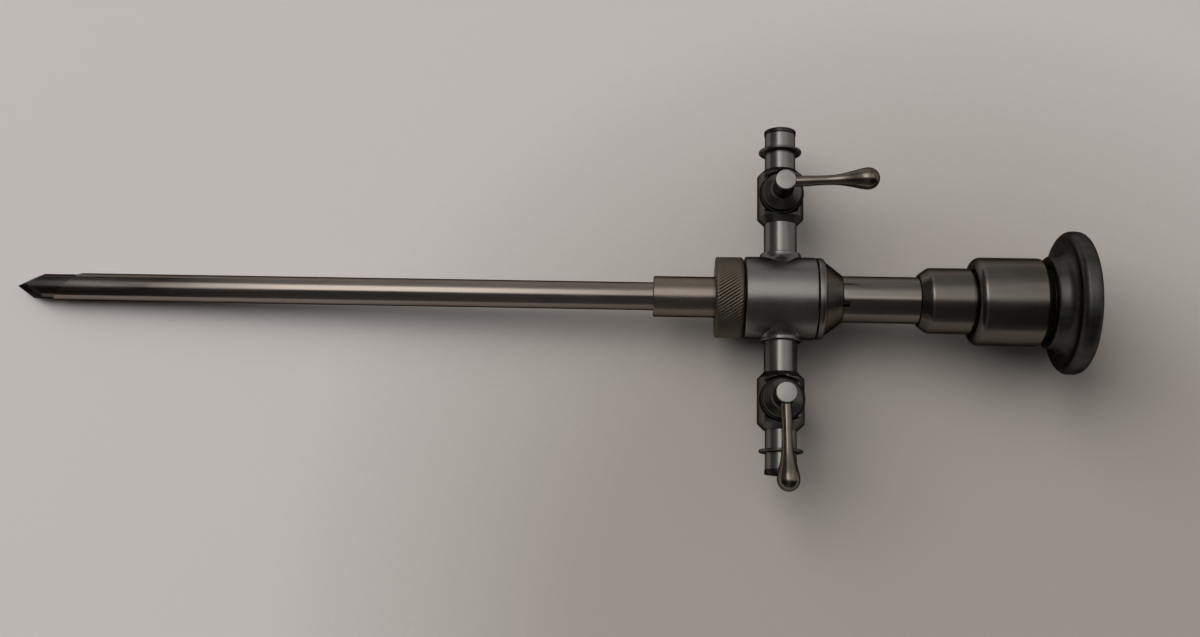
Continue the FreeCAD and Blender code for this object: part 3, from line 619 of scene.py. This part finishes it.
def plug_and_lever(name, side):
    """Plug with its head and stem, the bright button on top, and the drop-shaped lever through the stem."""
    centre = Vector((PORT_X, side * COCK_CENTRE, 0))
    body = name + "_valve"
    head = SADDLE_HEIGHT + HEAD_LIFT
    plug = turned([
        (PLUG_SCREW_END, 0),
        (PLUG_SCREW_END, PLUG_SCREW_RADIUS, 0.25),
        (PLUG_TAIL_END, PLUG_SCREW_RADIUS),
        (PLUG_TAIL_END, PLUG_TAIL_RADIUS),
        (head, PLUG_TOP_RADIUS),
        (head, HEAD_RADIUS, 0.2),
        (head + HEAD_RIM, HEAD_RADIUS, 0.3),
        (head + HEAD_RIM + HEAD_CONE, STEM_RADIUS, 0.6),
        (STEM_TOP - BUTTON_HEIGHT, STEM_RADIUS),
        (STEM_TOP - BUTTON_HEIGHT, 0),
    ], centre, Z_AXIS, X_AXIS, FINE_STEPS)
    stand_for(link_mesh(name + "_turning_plug", plug, COCK_STEEL), name + "_plug", body)
    button = turned([
        (STEM_TOP - BUTTON_HEIGHT, 0),
        (STEM_TOP - BUTTON_HEIGHT, STEM_RADIUS),
        (STEM_TOP, STEM_RADIUS, 0.2),
        (STEM_TOP, 0),
    ], centre, Z_AXIS, X_AXIS, FINE_STEPS)
    stand_for(link_mesh(name + "_button", button, PLUG_STEEL), name + "_plug", body)
    turn, tilt = math.radians(LEVER_ANGLES[name]), math.radians(LEVER_TILT)
    level = Vector((math.cos(turn), math.sin(turn), 0))
    along = level * math.cos(tilt) + Z_AXIS * math.sin(tilt)
    across = Z_AXIS * math.cos(tilt) - level * math.sin(tilt)
    reach = LEVER_REACHES[name]
    bulb = reach - LEVER_BULB
    # Each point is its place along the lever, and the radius there
    tenon = [
        (LEVER_TENON_START, 0),
        (LEVER_TENON_START, LEVER_TENON_RADIUS),
        (LEVER_ROOT_START, LEVER_TENON_RADIUS),
        (LEVER_ROOT_START, LEVER_ROOT),
    ]
    waist = [(2.9, LEVER_ROOT), (4.4, 1.14), (6.4, 1.02), (8.3, 0.99)]
    swell = [(bulb - 6.6, 1.06), (bulb - 4.9, 1.30), (bulb - 3.2, 1.68), (bulb - 1.5, 2.12)]
    drop = [(bulb, LEVER_BULB), (bulb + 1.05, 2.14), (bulb + 1.85, 1.53), (reach - 0.13, 0.75), (reach, 0)]
    arm = turned(tenon + waist + swell + drop, centre + Z_AXIS * LEVER_HEIGHT, along, across, LEVER_STEPS)
    piece = link_mesh(name + "_drop_lever", arm, LEVER_STEEL, 80)
    rounder = piece.modifiers.new("rounder", "SUBSURF")
    rounder.levels = rounder.render_levels = 2
    stand_for(piece, name + "_lever", body)


# Obturator

def point():
    """Round bar ground to a three-sided point. The bar starts longer, and the cuts take that off."""
    blank_end = POINT_END - 1
    bm = turned([
        (blank_end, 0),
        (blank_end, POINT_RADIUS),
        (POINT_ROOT, POINT_RADIUS),
        (POINT_ROOT, 0),
    ], steps=TUBE_STEPS)
    slope = math.radians(POINT_SLOPE)
    for i in range(POINT_SIDES):
        turn = math.radians(POINT_FIRST_SIDE + 360 / POINT_SIDES * i)
        sideways = Y_AXIS * math.sin(turn) + Z_AXIS * math.cos(turn)
        facing = sideways * math.cos(slope) - X_AXIS * math.sin(slope)
        bmesh.ops.edgeloop_fill(bm, edges=cut_away(bm, X_AXIS * POINT_END, facing))
    stand_for(link_mesh("trocar_point", bm, TIP_STEEL, 12), "trocar_tip", "obturator")


def notched_edge():
    """Front edge of the shank, open where the index pin comes through."""
    start = math.radians(PIN_ANGLE + NOTCH_HALF_ANGLE)
    bm = bmesh.new()
    profile(bm, [
        (HANDLE_START, ROD_BORE),
        (HANDLE_START, NECK_RADIUS, 0.15),
        (HANDLE_START + NOTCH_DEPTH, NECK_RADIUS),
        (HANDLE_START + NOTCH_DEPTH, ROD_BORE),
    ], AXIS, X_AXIS, Vector((0, math.sin(start), math.cos(start))))
    first = bm.edges[:]
    made = bmesh.ops.spin(
        bm, geom=bm.verts[:] + first, cent=AXIS, axis=-X_AXIS,
        angle=math.radians(360 - 2 * NOTCH_HALF_ANGLE), steps=ROUND_STEPS,
    )
    last = [part for part in made["geom_last"] if isinstance(part, bmesh.types.BMEdge)]
    bmesh.ops.edgeloop_fill(bm, edges=first)
    bmesh.ops.edgeloop_fill(bm, edges=last)
    return link_mesh("shank_edge", bm, SHANK_STEEL)


def handle():
    """Shank, step and barrel, each on a spigot of the one before it, and the palm disc behind them."""
    neck = link_mesh("handle_shank", turned([
        (HANDLE_START + NOTCH_DEPTH, ROD_BORE),
        (HANDLE_START + NOTCH_DEPTH, NECK_RADIUS),
        (FERRULE_START, NECK_RADIUS),
        (FERRULE_START, SPIGOT_RADIUS),
        (FERRULE_START + SPIGOT_LENGTH, SPIGOT_RADIUS),
        (FERRULE_START + SPIGOT_LENGTH, ROD_BORE),
    ]), SHANK_STEEL)
    stand_for(neck, "handle_neck", "obturator")
    stand_for(notched_edge(), "handle_neck", "obturator")
    ferrule = link_mesh("handle_step", turned([
        (FERRULE_START, SPIGOT_RADIUS + BRAZE_GAP),
        (FERRULE_START, FERRULE_NOSE_RADIUS, 0.3),
        (FERRULE_START + FERRULE_NOSE, FERRULE_RADIUS, 0.5),
        (GRIP_START - REBATE_LENGTH, FERRULE_RADIUS, 0.08),
        (GRIP_START - REBATE_LENGTH, FERRULE_RADIUS - REBATE_DEPTH),
        (GRIP_START, FERRULE_RADIUS - REBATE_DEPTH),
        (GRIP_START, SPIGOT_RADIUS),
        (GRIP_START + SPIGOT_LENGTH, SPIGOT_RADIUS),
        (GRIP_START + SPIGOT_LENGTH, ROD_BORE),
        (FERRULE_START + SPIGOT_LENGTH + BRAZE_GAP, ROD_BORE),
        (FERRULE_START + SPIGOT_LENGTH + BRAZE_GAP, SPIGOT_RADIUS + BRAZE_GAP),
    ]), HANDLE_STEEL)
    stand_for(ferrule, "handle_ferrule", "obturator")
    grip = link_mesh("handle_barrel", turned([
        (GRIP_START, SPIGOT_RADIUS + BRAZE_GAP),
        (GRIP_START, GRIP_RADIUS, 1.8),
        (GRIP_END - GRIP_TAPER_LENGTH, GRIP_RADIUS, 0.3),
        (GRIP_END, GRIP_RADIUS - GRIP_TAPER_DEPTH, 0.1),
        (GRIP_END, STUD_BORE),
        (GRIP_END - STUD_DEPTH, STUD_BORE),
        (GRIP_END - STUD_DEPTH, ROD_VENT),
        (GRIP_START + ROD_SEAT, ROD_VENT),
        (GRIP_START + ROD_SEAT, ROD_BORE),
        (GRIP_START + SPIGOT_LENGTH + BRAZE_GAP, ROD_BORE),
        (GRIP_START + SPIGOT_LENGTH + BRAZE_GAP, SPIGOT_RADIUS + BRAZE_GAP),
    ]), HANDLE_STEEL)
    stand_for(grip, "handle_grip", "obturator")
    knob = link_mesh("palm_disc", turned([
        (GRIP_END, 0),
        (GRIP_END, KNOB_NECK_RADIUS),
        (DRUM_START, KNOB_NECK_RADIUS),
        (DRUM_START, DRUM_RADIUS, 0.5),
        (DISC_ROOT, DRUM_RADIUS, 4.2),
        (DISC_LIP, DISC_RADIUS - DISC_CHAMFER, 0.7),
        (DISC_LIP + DISC_CHAMFER, DISC_RADIUS, 0.5),
        (DISC_EDGE, DISC_RADIUS, 1.6),
        (DISC_BACK + DOME_HEIGHT, DISC_RADIUS / 2, 3.0),
        (DISC_BACK + DOME_HEIGHT, 0),
    ]), KNOB_STEEL)
    stand_for(knob, "palm_knob", "obturator")


working_tube()
collar()
cone()
knurled_nut()
hub_barrel()
for name, side in (("inflow", 1), ("outflow", -1)):
    port_housing(name, side)
    plug_and_lever(name, side)
point()
handle()

for node, material in {
    "sheath_core": INNER_STEEL,
    "hub_front_seal": RUBBER,
    "hub_rear_seal": RUBBER,
    "rod_seal": RUBBER,
    # Painted shade: the index pin is near-black for the shadow in its notch
    "index_pin": PAINTED_SHADE_STEEL,
    "thrust_washer": INNER_STEEL,
    "inflow_spring_washer": INNER_STEEL,
    "outflow_spring_washer": INNER_STEEL,
    "inflow_plug_nut": PLUG_STEEL,
    "outflow_plug_nut": PLUG_STEEL,
    "obturator_rod": INNER_STEEL,
    "coupling_collar": INNER_STEEL,
    "snap_ring": INNER_STEEL,
    "knob_stud": INNER_STEEL,
}.items():
    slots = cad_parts[node].data.materials
    slots.clear()
    slots.append(material)


# Table, light and camera

def table_top():
    """Pale table under the disc's rim and the tube's end, with painted shade that darkens it on the outflow
    side of the handle.
    """
    look = Finish("table_with_painted_shade")
    fibres = look.noise((900, 900, 900), 4, 0.6)
    far = look.nodes.new("ShaderNodeVectorMath")
    far.operation = "DISTANCE"
    far.inputs[1].default_value = PAINTED_SHADE_CENTRE * MM
    look.links.new(look.place, far.inputs[0])
    # Painted shade: the table's colour darkens towards a point beside the handle on the outflow side,
    # fading out with distance from it
    painted_shade_fade = look.spread(far.outputs["Value"], 0.25, 0.72, PAINTED_SHADE_START * MM, PAINTED_SHADE_END * MM)
    colour = look.blend_colours(look.add(painted_shade_fade, fibres, 0.06), PAINTED_SHADE_COLOUR, PALE_TABLE)
    look.shader.inputs["Specular IOR Level"].default_value = 0.2
    material = look.finish(colour, look.spread(fibres, 0.75, 0.9))
    slant = math.atan2(RIM_REST.z - TIP_REST.z, RIM_REST.x - TIP_REST.x)
    bm = bmesh.new()
    bmesh.ops.create_grid(bm, x_segments=1, y_segments=1, size=TABLE_REACH)
    bmesh.ops.rotate(bm, cent=AXIS, matrix=Matrix.Rotation(-slant, 3, "Y"), verts=bm.verts)
    bmesh.ops.translate(bm, vec=RIM_REST, verts=bm.verts)
    bmesh.ops.scale(bm, vec=(MM, MM, MM), verts=bm.verts)
    mesh = bpy.data.meshes.new("table_top")
    bm.to_mesh(mesh)
    bm.free()
    mesh.materials.append(material)
    table = bpy.data.objects.new("table_top", mesh)
    bpy.context.scene.collection.objects.link(table)


def room_light():
    """Wide window beyond the inflow side, its brightest pane a little towards the tip, and a narrow strip
    nearly overhead, in a dim room that is dimmest towards the tip and towards the knob."""
    world = bpy.data.worlds.new("room")
    bpy.context.scene.world = world
    world.use_nodes = True
    nodes, links = world.node_tree.nodes, world.node_tree.links
    nodes.clear()
    parts = nodes.new("ShaderNodeSeparateXYZ")
    links.new(nodes.new("ShaderNodeTexCoord").outputs["Generated"], parts.inputs["Vector"])
    towards_knob, towards_inflow, upwards = parts.outputs

    def fade(value, start, end, first, last):
        node = nodes.new("ShaderNodeMapRange")
        node.interpolation_type = "SMOOTHSTEP"
        for place, number in enumerate((start, end, first, last), 1):
            node.inputs[place].default_value = number
        links.new(value, node.inputs["Value"])
        return node.outputs["Result"]

    def joined(operation, first, *others):
        for other in others:
            node = nodes.new("ShaderNodeMath")
            node.operation = operation
            links.new(first, node.inputs[0])
            links.new(other, node.inputs[1])
            first = node.outputs["Value"]
        return first

    window = joined(
        "MULTIPLY",
        fade(towards_inflow, -0.24, -0.02, 0, 0.95),
        fade(towards_inflow, 0.36, 0.80, 1, 0.32),
        fade(towards_knob, -0.97, -0.75, 0.4, 1),
        fade(towards_knob, -0.367, -0.335, 0.1, 1),
        fade(towards_knob, 0.14, 0.32, 1, 0.42),
        fade(towards_knob, 0.30, 0.42, 1, 1.8),
        fade(towards_knob, 0.50, 0.95, 1, 0.45),
    )
    pane = joined(
        "MULTIPLY",
        fade(towards_inflow, -0.14, 0, 0, 1.5),
        fade(towards_inflow, 0.45, 0.62, 1, 0),
        fade(towards_knob, -0.40, -0.33, 0, 1),
        fade(towards_knob, -0.16, -0.05, 1, 0),
    )
    strip = joined(
        "MULTIPLY",
        fade(towards_inflow, -0.14, -0.03, 0, 0.45),
        fade(towards_inflow, 0.05, 0.16, 1, 0),
        fade(towards_knob, 0.09, 0.14, 0, 1),
        fade(towards_knob, 0.22, 0.26, 1, 0),
    )
    walls = joined(
        "MULTIPLY",
        fade(upwards, 0.05, 0.40, 0.12, 0.085),
        fade(towards_knob, -0.367, -0.335, 0.2, 1),
        fade(towards_knob, 0.17, 0.25, 1, 0.25),
    )
    lit = nodes.new("ShaderNodeBackground")
    lit.inputs["Color"].default_value = (1.0, 0.985, 0.965, 1)
    links.new(joined("ADD", window, pane, strip, walls), lit.inputs["Strength"])
    seen = nodes.new("ShaderNodeBackground")
    seen.inputs["Color"].default_value = (0.62, 0.60, 0.585, 1)
    mix = nodes.new("ShaderNodeMixShader")
    links.new(nodes.new("ShaderNodeLightPath").outputs["Is Camera Ray"], mix.inputs["Fac"])
    links.new(lit.outputs["Background"], mix.inputs[1])
    links.new(seen.outputs["Background"], mix.inputs[2])
    links.new(mix.outputs["Shader"], nodes.new("ShaderNodeOutputWorld").inputs["Surface"])


def window_lamp():
    """Soft lamp in the window's place, aimed at the root of the tube. Mirror reflections leave it out."""
    lamp = bpy.data.lights.new("window_lamp", "AREA")
    lamp.shape = "SQUARE"
    lamp.size = LAMP_SIZE * MM
    lamp.energy = LAMP_WATTS
    holder = bpy.data.objects.new("window_lamp", lamp)
    holder.location = LAMP_PLACE * MM
    holder.rotation_euler = (AXIS - LAMP_PLACE).to_track_quat("-Z", "Y").to_euler()
    holder.visible_camera = False
    holder.visible_glossy = False
    bpy.context.scene.collection.objects.link(holder)


def picture_camera():
    """The picture's own view, worked out from where known points of the instrument lie in it."""
    turn = (
        Matrix.Rotation(math.radians(VIEW_SLOPE), 3, "Z")
        @ Matrix.Rotation(math.radians(VIEW_PITCH), 3, "Y")
        @ Matrix.Rotation(math.radians(VIEW_ROLL), 3, "X")
    )
    hub = Vector((PORT_X, 0, 0)) * MM
    lens = bpy.data.cameras.new("picture_camera")
    lens.sensor_width = SENSOR_WIDTH
    lens.lens = SENSOR_WIDTH * FOCAL_PIXELS / PICTURE_WIDTH
    lens.clip_start = 0.005
    lens.clip_end = 20
    camera = bpy.data.objects.new("picture_camera", lens)
    camera.rotation_euler = turn.transposed().to_euler()
    camera.location = hub - turn.transposed() @ (HUB_SEEN_AT * MM)
    bpy.context.scene.collection.objects.link(camera)
    bpy.context.scene.camera = camera


table_top()
room_light()
window_lamp()
picture_camera()
bpy.context.scene.view_settings.view_transform = "Standard"
